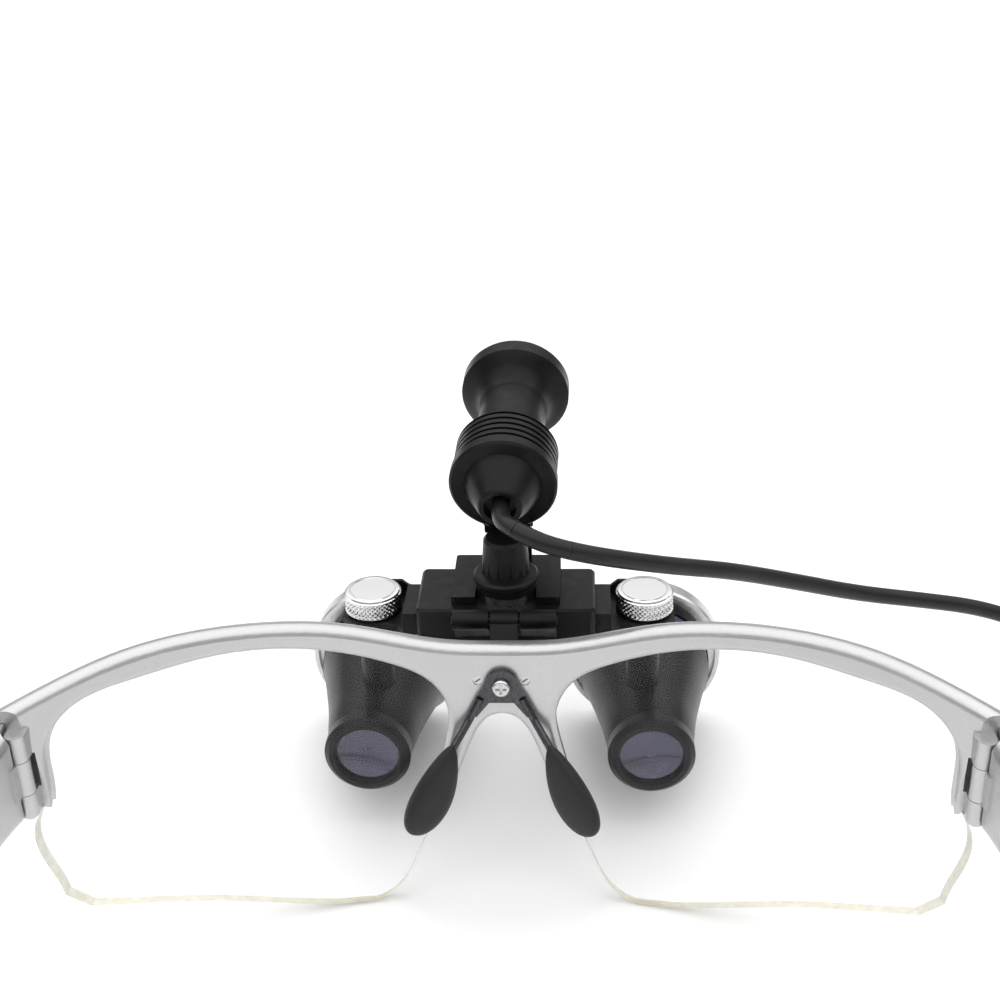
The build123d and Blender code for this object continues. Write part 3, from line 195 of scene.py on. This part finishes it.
def tube(name, line, radius, segments=20):
    """A closed mesh tube along a line, with rings that don't twist."""
    build = bmesh.new()
    rings = []
    previous = None
    for i, point in enumerate(line):
        ahead = (line[min(i + 1, len(line) - 1)] - line[max(i - 1, 0)]).normalized()
        if previous is None:
            previous = ahead.orthogonal().normalized()
        side = (previous - ahead * previous.dot(ahead)).normalized()
        previous = side
        up = ahead.cross(side)
        ring = []
        for k in range(segments):
            angle = 2 * math.pi * k / segments
            ring.append(build.verts.new(point + (side * math.cos(angle) + up * math.sin(angle)) * radius))
        rings.append(ring)
    for a, b in zip(rings, rings[1:]):
        for k in range(segments):
            build.faces.new((a[k], a[(k + 1) % segments], b[(k + 1) % segments], b[k]))
    build.faces.new(reversed(rings[0]))
    build.faces.new(rings[-1])
    piece = finish_mesh(name, build)
    shade_sharp(piece, 60)
    return piece


def finish_mesh(name, build, smooth=True):
    """A linked object from a bmesh, with its normals outwards."""
    bmesh.ops.recalc_face_normals(build, faces=build.faces)
    mesh = bpy.data.meshes.new(name)
    build.to_mesh(mesh)
    build.free()
    for polygon in mesh.polygons:
        polygon.use_smooth = smooth
    piece = bpy.data.objects.new(name, mesh)
    bpy.context.scene.collection.objects.link(piece)
    return piece


def shade_sharp(piece, degrees):
    """Marks the edges that turn by more than that as sharp."""
    build = bmesh.new()
    build.from_mesh(piece.data)
    limit = math.radians(degrees)
    for edge in build.edges:
        if len(edge.link_faces) == 2 and edge.calc_face_angle(0) > limit:
            edge.smooth = False
    build.to_mesh(piece.data)
    build.free()


NECK_LENGTH = 9 * MM  # each of the two short stretches behind the lamp


def split_line(line, lengths):
    """The line in stretches of those lengths, and the rest, each starting where the last one ends."""
    stretches = []
    current = [line[0]]
    wanted = list(lengths)
    run = 0.0
    for a, b in zip(line, line[1:]):
        current.append(b)
        run += (b - a).length
        if wanted and run >= wanted[0]:
            stretches.append(current)
            current = [b]
            run = 0.0
            wanted.pop(0)
    stretches.append(current)
    return stretches


STRAP_HALF_WIDTH = 5.45  # of the opening inside the strap, in millimetres
STRAP_BREADTH = 5.0  # along the coil
STRAP_TOP = 11.15
STRAP_FOOT = 0.1
STRAP_BLUNT = 7.0  # how square the loop is
STRAP_THICKNESS = 0.85
STRAP_STEPS = 96
STRAP_ROWS = 8
OVERLAP = (0.16, 0.47)  # the shares of the loop between which the tape lies double


def loop_point(share, grow):
    """A point of the rounded loop round the coil's section, x and z in millimetres, grown outwards."""
    half_width = STRAP_HALF_WIDTH + grow
    half_height = (STRAP_TOP - STRAP_FOOT) / 2 + grow
    angle = 2 * math.pi * share
    x, z = math.cos(angle), math.sin(angle)
    reach = (abs(x) ** STRAP_BLUNT + abs(z) ** STRAP_BLUNT) ** (-1 / STRAP_BLUNT)
    return half_width * reach * x, (STRAP_TOP + STRAP_FOOT) / 2 + half_height * reach * z


def add_strap():
    """A fabric strap wound round the coil, with its free end lying over the start."""
    build = bmesh.new()
    inner, outer = [], []
    for step in range(STRAP_STEPS):
        share = step / STRAP_STEPS
        double = OVERLAP[0] < share < OVERLAP[1]
        thickness = STRAP_THICKNESS * (1.9 if double else 1.0)
        inner_row, outer_row = [], []
        for row in range(STRAP_ROWS + 1):
            across = (row / STRAP_ROWS - 0.5) * STRAP_BREADTH
            rumple = 0.07 * math.sin(9 * share * 2 * math.pi + 0.9 * across) * math.cos(0.7 * across)
            rounding = 0.16 * abs(2 * row / STRAP_ROWS - 1) ** 6
            for grow, ring in ((0.02, inner_row), (thickness + rumple - rounding, outer_row)):
                x, z = loop_point(share, grow)
                ring.append(build.verts.new(at(COIL_X - COIL_MEAN_R + x, COIL_Y + across, max(z, 0.02))))
        inner.append(inner_row)
        outer.append(outer_row)
    for i in range(STRAP_STEPS):
        j = (i + 1) % STRAP_STEPS
        for row in range(STRAP_ROWS):
            build.faces.new((outer[i][row], outer[j][row], outer[j][row + 1], outer[i][row + 1]))
            build.faces.new((inner[i][row], inner[i][row + 1], inner[j][row + 1], inner[j][row]))
        build.faces.new((outer[i][0], inner[i][0], inner[j][0], outer[j][0]))
        build.faces.new((outer[i][-1], outer[j][-1], inner[j][-1], inner[i][-1]))
    strap = finish_mesh("strap", build)
    shade_sharp(strap, 50)
    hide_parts("coil_tie")
    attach(strap, "frame")
    return strap


def add_lead():
    """The lead: two short stretches just behind the lamp, then the long one to the coil and the plug."""
    line = spline_line(free_run + coil_points() + tail_run)
    near, middle, far = split_line(line, (NECK_LENGTH, NECK_LENGTH))
    lead_neck = tube("lead_neck", near, CABLE_R)
    lead_bend = tube("lead_bend", middle, CABLE_R)
    lead = tube("lead", far, CABLE_R)
    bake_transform(lead_neck)
    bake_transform(lead_bend)
    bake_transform(lead)
    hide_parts("cable", "cable_coil", "cable_tail")
    length = sum((b - a).length for a, b in zip(far, far[1:]))
    print("lead length, m:", round(length, 4))
    return [lead_neck, lead_bend, lead]


strap = add_strap()
lead_pieces = add_lead()


# ==== shading helpers =====================================================================================
def new_material(name, colour, roughness, metallic=0.0, specular=0.5):
    """A material with one Principled shader; its colour is linear."""
    material = bpy.data.materials.new(name)
    material.use_nodes = True
    shader = material.node_tree.nodes["Principled BSDF"]
    shader.inputs["Base Color"].default_value = (*colour, 1)
    shader.inputs["Roughness"].default_value = roughness
    shader.inputs["Metallic"].default_value = metallic
    shader.inputs["Specular IOR Level"].default_value = specular
    return material


def shader_of(material):
    return material.node_tree.nodes["Principled BSDF"]


def noise(material, scale, detail=3.0, stretch=(1, 1, 1)):
    """A noise texture over the piece's own coordinates; scale is features per metre."""
    tree = material.node_tree
    where = tree.nodes.new("ShaderNodeTexCoord")
    mapping = tree.nodes.new("ShaderNodeMapping")
    mapping.inputs["Scale"].default_value = stretch
    texture = tree.nodes.new("ShaderNodeTexNoise")
    texture.inputs["Scale"].default_value = scale
    texture.inputs["Detail"].default_value = detail
    tree.links.new(where.outputs["Object"], mapping.inputs["Vector"])
    tree.links.new(mapping.outputs["Vector"], texture.inputs["Vector"])
    return texture.outputs["Fac"]


def vary(material, source, socket, low, high, start=0.3, stop=0.7):
    """Feeds a shader socket from a texture, between two values or two colours."""
    tree = material.node_tree
    ramp = tree.nodes.new("ShaderNodeValToRGB")
    ramp.color_ramp.elements[0].position = start
    ramp.color_ramp.elements[1].position = stop
    for element, value in zip(ramp.color_ramp.elements, (low, high)):
        element.color = (*value, 1) if isinstance(value, tuple) else (value, value, value, 1)
    tree.links.new(source, ramp.inputs["Fac"])
    tree.links.new(ramp.outputs["Color"], shader_of(material).inputs[socket])


def bump(material, source, depth, strength=1.0):
    """Raises the surface by up to that depth, in metres."""
    tree = material.node_tree
    node = tree.nodes.new("ShaderNodeBump")
    node.inputs["Strength"].default_value = strength
    node.inputs["Distance"].default_value = depth
    previous = shader_of(material).inputs["Normal"]
    if previous.is_linked:
        tree.links.new(previous.links[0].from_socket, node.inputs["Normal"])
    tree.links.new(source, node.inputs["Height"])
    tree.links.new(node.outputs["Normal"], previous)


def clear_to_light(material):
    """Lets light straight through to what lies behind, so that the glass casts only a faint shadow."""
    tree = material.node_tree
    ray = tree.nodes.new("ShaderNodeLightPath")
    see_through = tree.nodes.new("ShaderNodeBsdfTransparent")
    see_through.inputs["Color"].default_value = (0.93, 0.93, 0.93, 1)
    mix = tree.nodes.new("ShaderNodeMixShader")
    output = tree.nodes["Material Output"]
    tree.links.new(ray.outputs["Is Shadow Ray"], mix.inputs["Fac"])
    tree.links.new(shader_of(material).outputs["BSDF"], mix.inputs[1])
    tree.links.new(see_through.outputs["BSDF"], mix.inputs[2])
    tree.links.new(mix.outputs["Shader"], output.inputs["Surface"])


# ==== materials ===========================================================================================
def silver_paint(name, light):
    """Satin silver paint with fine metal flake."""
    material = new_material(name, (light, light, light), 0.3, metallic=0.8)
    flake = noise(material, 9000, detail=1.0)
    dark = light * 0.86
    vary(material, flake, "Base Color", (dark, dark, dark * 1.01), (light, light, light * 1.01))
    vary(material, noise(material, 60), "Roughness", 0.27, 0.34)
    bump(material, flake, 0.00001, 0.35)
    return material


def clear_lens():
    """Clear polycarbonate with faint wiping marks."""
    material = new_material("lens_clear", (1, 1, 1), 0.0, specular=0.4)
    shader = shader_of(material)
    shader.inputs["IOR"].default_value = 1.2
    smear = noise(material, 90, detail=6.0, stretch=(1, 1, 0.4))
    vary(material, smear, "Base Color", (1.0, 1.0, 1.0), (0.96, 0.96, 0.96), start=0.55, stop=0.9)
    shader.inputs["Transmission Weight"].default_value = 1.0
    clear_to_light(material)
    return material


def lens_edge():
    """The cut edge of a clear lens, which gathers a warm tint."""
    material = new_material("lens_edge", (0.55, 0.52, 0.38), 0.3)
    vary(material, noise(material, 700), "Base Color", (0.48, 0.45, 0.32), (0.62, 0.59, 0.46))
    shader_of(material).inputs["Alpha"].default_value = 0.7
    bump(material, noise(material, 5000, stretch=(1, 4, 1)), 0.00001, 0.3)
    return material


def dark_steel():
    """Gunmetal-plated spring steel, brushed along its length."""
    material = new_material("gunmetal", (0.07, 0.07, 0.075), 0.24, metallic=1.0)
    brushed = noise(material, 6000, stretch=(1, 1, 0.1))
    vary(material, brushed, "Base Color", (0.05, 0.05, 0.054), (0.1, 0.1, 0.106))
    vary(material, noise(material, 700), "Roughness", 0.2, 0.32)
    bump(material, brushed, 0.000003, 0.3)
    return material


def bright_steel(name, light, roughness):
    """Plain or plated steel with turning marks."""
    material = new_material(name, (light, light, light), roughness, metallic=1.0)
    marks = noise(material, 6000, stretch=(1, 1, 0.15))
    vary(material, marks, "Base Color", (light * 0.88, light * 0.88, light * 0.89), (light, light, light))
    vary(material, noise(material, 900), "Roughness", roughness * 0.85, roughness * 1.2)
    bump(material, marks, 0.000002, 0.25)
    return material


def soft_rubber(name, light, roughness=0.55):
    """Moulded rubber with a fine skin grain."""
    material = new_material(name, (light, light, light), roughness, specular=0.3)
    skin = noise(material, 3500, detail=4.0)
    vary(material, noise(material, 120), "Base Color", (light * 0.8,) * 3, (light * 1.25,) * 3)
    vary(material, skin, "Roughness", roughness - 0.08, roughness + 0.1)
    shader_of(material).inputs["Sheen Weight"].default_value = 0.06
    bump(material, skin, 0.00003, 0.5)
    return material


def black_metal(name, light, roughness):
    """Satin black anodised aluminium, bead-blasted, with traces of handling."""
    material = new_material(name, (light, light, light * 1.08), roughness, specular=0.16)
    blast = noise(material, 7000, detail=2.0)
    worn = (light * 1.3, light * 1.3, light * 1.42)
    vary(material, noise(material, 260), "Base Color", (light * 0.75,) * 3, worn)
    vary(material, noise(material, 500, detail=5.0), "Roughness", roughness - 0.06, roughness + 0.1)
    bump(material, blast, 0.000001, 0.3)
    return material


def black_plastic(name, light, roughness):
    """Moulded black plastic with a very fine spark texture."""
    material = new_material(name, (light, light, light), roughness, specular=0.18)
    spark = noise(material, 8000, detail=2.0)
    vary(material, noise(material, 200), "Base Color", (light * 0.8,) * 3, (light * 1.2,) * 3)
    vary(material, spark, "Roughness", roughness - 0.05, roughness + 0.08)
    bump(material, spark, 0.000001, 0.3)
    return material


def coated_glass():
    """Optical glass with a blue-violet anti-reflection coating."""
    material = new_material("optic_glass", (0.01, 0.01, 0.03), 0.04, specular=0.9)
    shader = shader_of(material)
    shader.inputs["Coat Weight"].default_value = 0.6
    shader.inputs["Coat Roughness"].default_value = 0.02
    shader.inputs["Coat Tint"].default_value = (0.72, 0.7, 1.0, 1)
    vary(material, noise(material, 90), "Base Color", (0.006, 0.006, 0.02), (0.018, 0.015, 0.05))
    return material


def collimator():
    """The clear plastic lens in front of the lamp's diode."""
    material = new_material("lamp_clear", (0.95, 0.97, 1.0), 0.02)
    shader = shader_of(material)
    shader.inputs["Transmission Weight"].default_value = 1.0
    shader.inputs["IOR"].default_value = 1.49
    vary(material, noise(material, 800), "Roughness", 0.01, 0.05)
    clear_to_light(material)
    return material


def circuit_board():
    """White solder mask over a board."""
    material = new_material("board_white", (0.8, 0.8, 0.78), 0.35)
    vary(material, noise(material, 900), "Base Color", (0.74, 0.74, 0.72), (0.86, 0.86, 0.84))
    return material


def phosphor():
    """The yellow phosphor of the diode, unlit."""
    material = new_material("led_yellow", (0.85, 0.72, 0.2), 0.3)
    vary(material, noise(material, 2500), "Base Color", (0.78, 0.62, 0.14), (0.9, 0.8, 0.3))
    return material


def cable_jacket():
    """The satin jacket of the lead, with faint ripples and dust."""
    material = new_material("cable_black", (0.009, 0.009, 0.01), 0.34, specular=0.3)
    dust = noise(material, 150, detail=5.0)
    vary(material, dust, "Base Color", (0.007, 0.007, 0.008), (0.013, 0.013, 0.015))
    vary(material, noise(material, 1800), "Roughness", 0.28, 0.42)
    bump(material, noise(material, 3000, detail=4.0), 0.00002, 0.4)
    return material


def tape_fabric():
    """Black hook-and-loop tape: a dense fuzzy weave."""
    material = new_material("tie_black", (0.02, 0.02, 0.02), 0.85, specular=0.2)
    loops = noise(material, 2600, detail=5.0)
    vary(material, loops, "Base Color", (0.008, 0.008, 0.008), (0.05, 0.05, 0.05))
    shader_of(material).inputs["Sheen Weight"].default_value = 0.3
    bump(material, loops, 0.00015, 0.8)
    return material


finishes = {
    "frame_silver": silver_paint("frame_silver", 0.56),
    "temple_silver": silver_paint("temple_silver", 0.57),
    "lens_clear": clear_lens(),
    "steel_dark": dark_steel(),
    "screw_steel": bright_steel("screw_steel", 0.6, 0.28),
    "pad_rubber": soft_rubber("pad_rubber", 0.012, 0.5),
    "tip_rubber": soft_rubber("tip_rubber", 0.03, 0.6),
    "black_anodised": black_metal("black_anodised", 0.007, 0.33),
    "knob_chrome": bright_steel("knob_chrome", 0.78, 0.16),
    "knob_black": black_plastic("knob_black", 0.007, 0.38),
    "stud_steel": bright_steel("stud_steel", 0.5, 0.3),
    "barrel_black": black_plastic("barrel_black", 0.007, 0.32),
    "rim_silver": bright_steel("rim_silver", 0.7, 0.32),
    "optic_glass": coated_glass(),
    "lamp_black": black_metal("lamp_black", 0.006, 0.32),
    "board_white": circuit_board(),
    "led_yellow": phosphor(),
    "lamp_clear": collimator(),
    "grommet_rubber": soft_rubber("grommet_rubber", 0.01),
    "cable_black": cable_jacket(),
    "tie_black": tape_fabric(),
    "plug_black": black_plastic("plug_black", 0.013, 0.45),
    "plug_metal": bright_steel("plug_metal", 0.75, 0.15),
}


def dress_nodes():
    """Gives every CAD node the finish of its slot."""
    for subpart in frame["record"]["subparts"]:
        mesh = nodes[subpart["node"]].data
        mesh.materials.clear()
        mesh.materials.append(finishes[subpart["material_slot"]])


def dress(piece, slot):
    """Gives a new piece the finish of that slot."""
    piece.data.materials.append(finishes[slot])
    return piece


dress_nodes()
for piece in lead_pieces:
    dress(piece, "cable_black")
dress(strap, "tie_black")

# ==== cut edges of the lenses =============================================================================
FRONT_RADIUS = 115.0
FRONT_BASE = 3.5
FRONT_LEAN = math.radians(8.0)
EDGE_LEAN = 0.85  # a face whose direction differs by more than this from the sheet's own is a cut edge


def tint_lens_edges():
    """The narrow faces round each lens take the tint of the cut edge."""
    edge = lens_edge()
    axis = Vector((0, math.sin(FRONT_LEAN), math.cos(FRONT_LEAN)))
    ahead = Vector((0, math.cos(FRONT_LEAN), -math.sin(FRONT_LEAN)))
    wrap_centre = at(0, FRONT_BASE, 0) - ahead * FRONT_RADIUS * MM
    for side, _ in SIDES:
        mesh = nodes[f"lens_{side}"].data
        mesh.materials.append(edge)
        for polygon in mesh.polygons:
            outwards = polygon.center - wrap_centre
            outwards -= axis * outwards.dot(axis)
            if abs(polygon.normal.dot(outwards.normalized())) < EDGE_LEAN:
                polygon.material_index = 1


tint_lens_edges()

# ==== thumb nuts ==========================================================================================
KNURLS = 38
KNURL_DEPTH = 0.28
KNURL_STEPS = 6  # points across one knurl
KNURL_ROWS = 24


def saw(value):
    """0 at whole numbers and 1 halfway between them."""
    return 1 - abs(2 * (value % 1.0) - 1)


def add_thumb_nut(side):
    """A diamond-knurled thumb nut with a turned top."""
    low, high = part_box(f"thumb_nut_{side}")
    centre = (low + high) / 2
    radius = (high.x - low.x) / 2
    height = high.z - low.z
    around = KNURLS * KNURL_STEPS
    pitch = 2 * math.pi * radius / KNURLS
    band_low = 0.4 * MM
    band_high = height - 0.45 * MM
    profile = [(radius * 0.32, 1.2 * MM, 0), (radius * 0.34, 0.0, 0), (radius - 0.5 * MM, 0.0, 0)]
    for k in range(KNURL_ROWS + 1):
        z = band_low + (band_high - band_low) * k / KNURL_ROWS
        fade = min(1.0, 4 * min(k, KNURL_ROWS - k) / KNURL_ROWS + 0.25)
        profile.append((radius - 0.02 * MM, z, KNURL_DEPTH * MM * fade))
    profile += [
        (radius - 0.3 * MM, band_high + 0.12 * MM, 0),
        (radius - 0.42 * MM, height - 0.03 * MM, 0),
        (radius - 0.55 * MM, height, 0),
        (radius - 1.0 * MM, height, 0),
        (radius - 1.08 * MM, height - 0.12 * MM, 0),
        (radius - 1.2 * MM, height - 0.12 * MM, 0),
        (radius - 1.28 * MM, height - 0.03 * MM, 0),
        (radius * 0.5, height - 0.03 * MM, 0),
        (radius * 0.12, height - 0.03 * MM, 0),
    ]
    build = bmesh.new()
    rings = []
    for r, z, depth in profile:
        ring = []
        for i in range(around):
            turn = i / KNURL_STEPS
            lift = min(saw(turn + z / pitch), saw(turn - z / pitch))
            reach = r - depth * (1 - lift)
            angle = 2 * math.pi * i / around
            x = centre.x + reach * math.cos(angle)
            y = centre.y + reach * math.sin(angle)
            ring.append(build.verts.new((x, y, low.z + z)))
        rings.append(ring)
    for a, b in zip(rings, rings[1:]):
        for i in range(around):
            build.faces.new((a[i], a[(i + 1) % around], b[(i + 1) % around], b[i]))
    build.faces.new(reversed(rings[0]))
    build.faces.new(rings[-1])
    nut = finish_mesh(f"knurled_nut_{side}", build)
    shade_sharp(nut, 38)
    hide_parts(f"thumb_nut_{side}")
    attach(nut, f"nut_{side}")
    dress(nut, "knob_chrome")


for side, _ in SIDES:
    add_thumb_nut(side)

# ==== nose pads ===========================================================================================
PAD_ROWS = 28
PAD_AROUND = 40
PAD_THICKNESS = 3.4
PAD_HALF_WIDTH = 4.0
PAD_HALF_HEIGHT = 8.3


def pad_axes(side, sign):
    """Centre, sideways, upwards and towards-the-nose directions of a pad, as its design lies."""
    low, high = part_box(f"nose_pad_{side}")
    normal = Vector((-sign * 0.53, -0.84, 0.02)).normalized()
    upwards = Vector((-sign * 0.41, 0.25, 0.87))
    across = upwards.cross(normal).normalized()
    upwards = normal.cross(across).normalized()
    return (low + high) / 2, across, upwards, normal


def add_nose_pad(side, sign):
    """A leaf-shaped rubber pad: broad and round below, narrow where the wire comes in at its top."""
    centre, across, upwards, normal = pad_axes(side, sign)
    build = bmesh.new()
    rings = []
    for row in range(1, PAD_ROWS):
        up = -math.cos(math.pi * row / PAD_ROWS)
        share = (1 + up) / 2
        half_width = PAD_HALF_WIDTH * (math.sin(math.pi * share**0.72) ** 0.62) * (1 - 0.12 * share)
        crown = PAD_THICKNESS / 2 * (math.sin(math.pi * share**0.8) ** 0.45)
        lean = 0.9 * (1 - up * up) * sign
        ring = []
        for k in range(PAD_AROUND):
            angle = 2 * math.pi * k / PAD_AROUND
            side_reach = math.copysign(abs(math.cos(angle)) ** 0.85, math.cos(angle))
            out_reach = math.copysign(abs(math.sin(angle)) ** 0.75, math.sin(angle))
            place = across * (half_width * side_reach - lean * 0.5) + upwards * (PAD_HALF_HEIGHT * up)
            ring.append(build.verts.new(centre + (place + normal * (crown * out_reach)) * MM))
        rings.append(ring)
    for a, b in zip(rings, rings[1:]):
        for k in range(PAD_AROUND):
            build.faces.new((a[k], a[(k + 1) % PAD_AROUND], b[(k + 1) % PAD_AROUND], b[k]))
    foot = build.verts.new(centre - upwards * PAD_HALF_HEIGHT * MM)
    head = build.verts.new(centre + upwards * PAD_HALF_HEIGHT * MM)
    for k in range(PAD_AROUND):
        build.faces.new((foot, rings[0][(k + 1) % PAD_AROUND], rings[0][k]))
        build.faces.new((head, rings[-1][k], rings[-1][(k + 1) % PAD_AROUND]))
    pad = finish_mesh(f"pad_{side}", build)
    smoother = pad.modifiers.new("smoother", "SUBSURF")
    smoother.levels = 1
    smoother.render_levels = 1
    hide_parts(f"nose_pad_{side}")
    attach(pad, "frame")
    dress(pad, "pad_rubber")


for side, sign in SIDES:
    add_nose_pad(side, sign)

# ==== floor and light =====================================================================================
FLOOR_HALF = 3.0
FLOOR_UP = -0.0002  # just under the object


def add_floor():
    """A large pale floor just under the object."""
    build = bmesh.new()
    corners = ((-1, -1), (1, -1), (1, 1), (-1, 1))
    build.faces.new([build.verts.new((x * FLOOR_HALF, y * FLOOR_HALF, FLOOR_UP)) for x, y in corners])
    floor = finish_mesh("floor", build, smooth=False)
    pale = new_material("floor_white", (0.93, 0.93, 0.935), 0.5, specular=0.25)
    floor.data.materials.append(pale)


TENT = ((0.0, 0.38), (0.35, 0.5), (0.6, 1.5), (1.0, 1.9))  # height in the sky, and brightness there
CURVE_SCALE = 2.0  # a float curve's values stop at 1


def add_light():
    """A white tent that is bright overhead and darker towards the horizon."""
    world = bpy.data.worlds.new("tent")
    world.use_nodes = True
    tree = world.node_tree
    where = tree.nodes.new("ShaderNodeTexCoord")
    parts = tree.nodes.new("ShaderNodeSeparateXYZ")
    brightness_by_height = tree.nodes.new("ShaderNodeFloatCurve")
    mapping = brightness_by_height.mapping
    curve = mapping.curves[0]
    for height, brightness in TENT[1:-1]:
        curve.points.new(height, brightness / CURVE_SCALE)
    curve.points[0].location = (TENT[0][0], TENT[0][1] / CURVE_SCALE)
    curve.points[-1].location = (TENT[-1][0], TENT[-1][1] / CURVE_SCALE)
    mapping.update()
    rescaled = tree.nodes.new("ShaderNodeMath")
    rescaled.operation = "MULTIPLY"
    rescaled.inputs[1].default_value = CURVE_SCALE
    tree.links.new(where.outputs["Generated"], parts.inputs["Vector"])
    tree.links.new(parts.outputs["Z"], brightness_by_height.inputs["Value"])
    tree.links.new(brightness_by_height.outputs["Value"], rescaled.inputs[0])
    surround = tree.nodes["Background"]
    surround.inputs["Color"].default_value = (1, 1, 1, 1)
    tree.links.new(rescaled.outputs["Value"], surround.inputs["Strength"])
    bpy.context.scene.world = world
    bpy.context.scene.view_settings.view_transform = "Standard"


add_floor()
add_light()
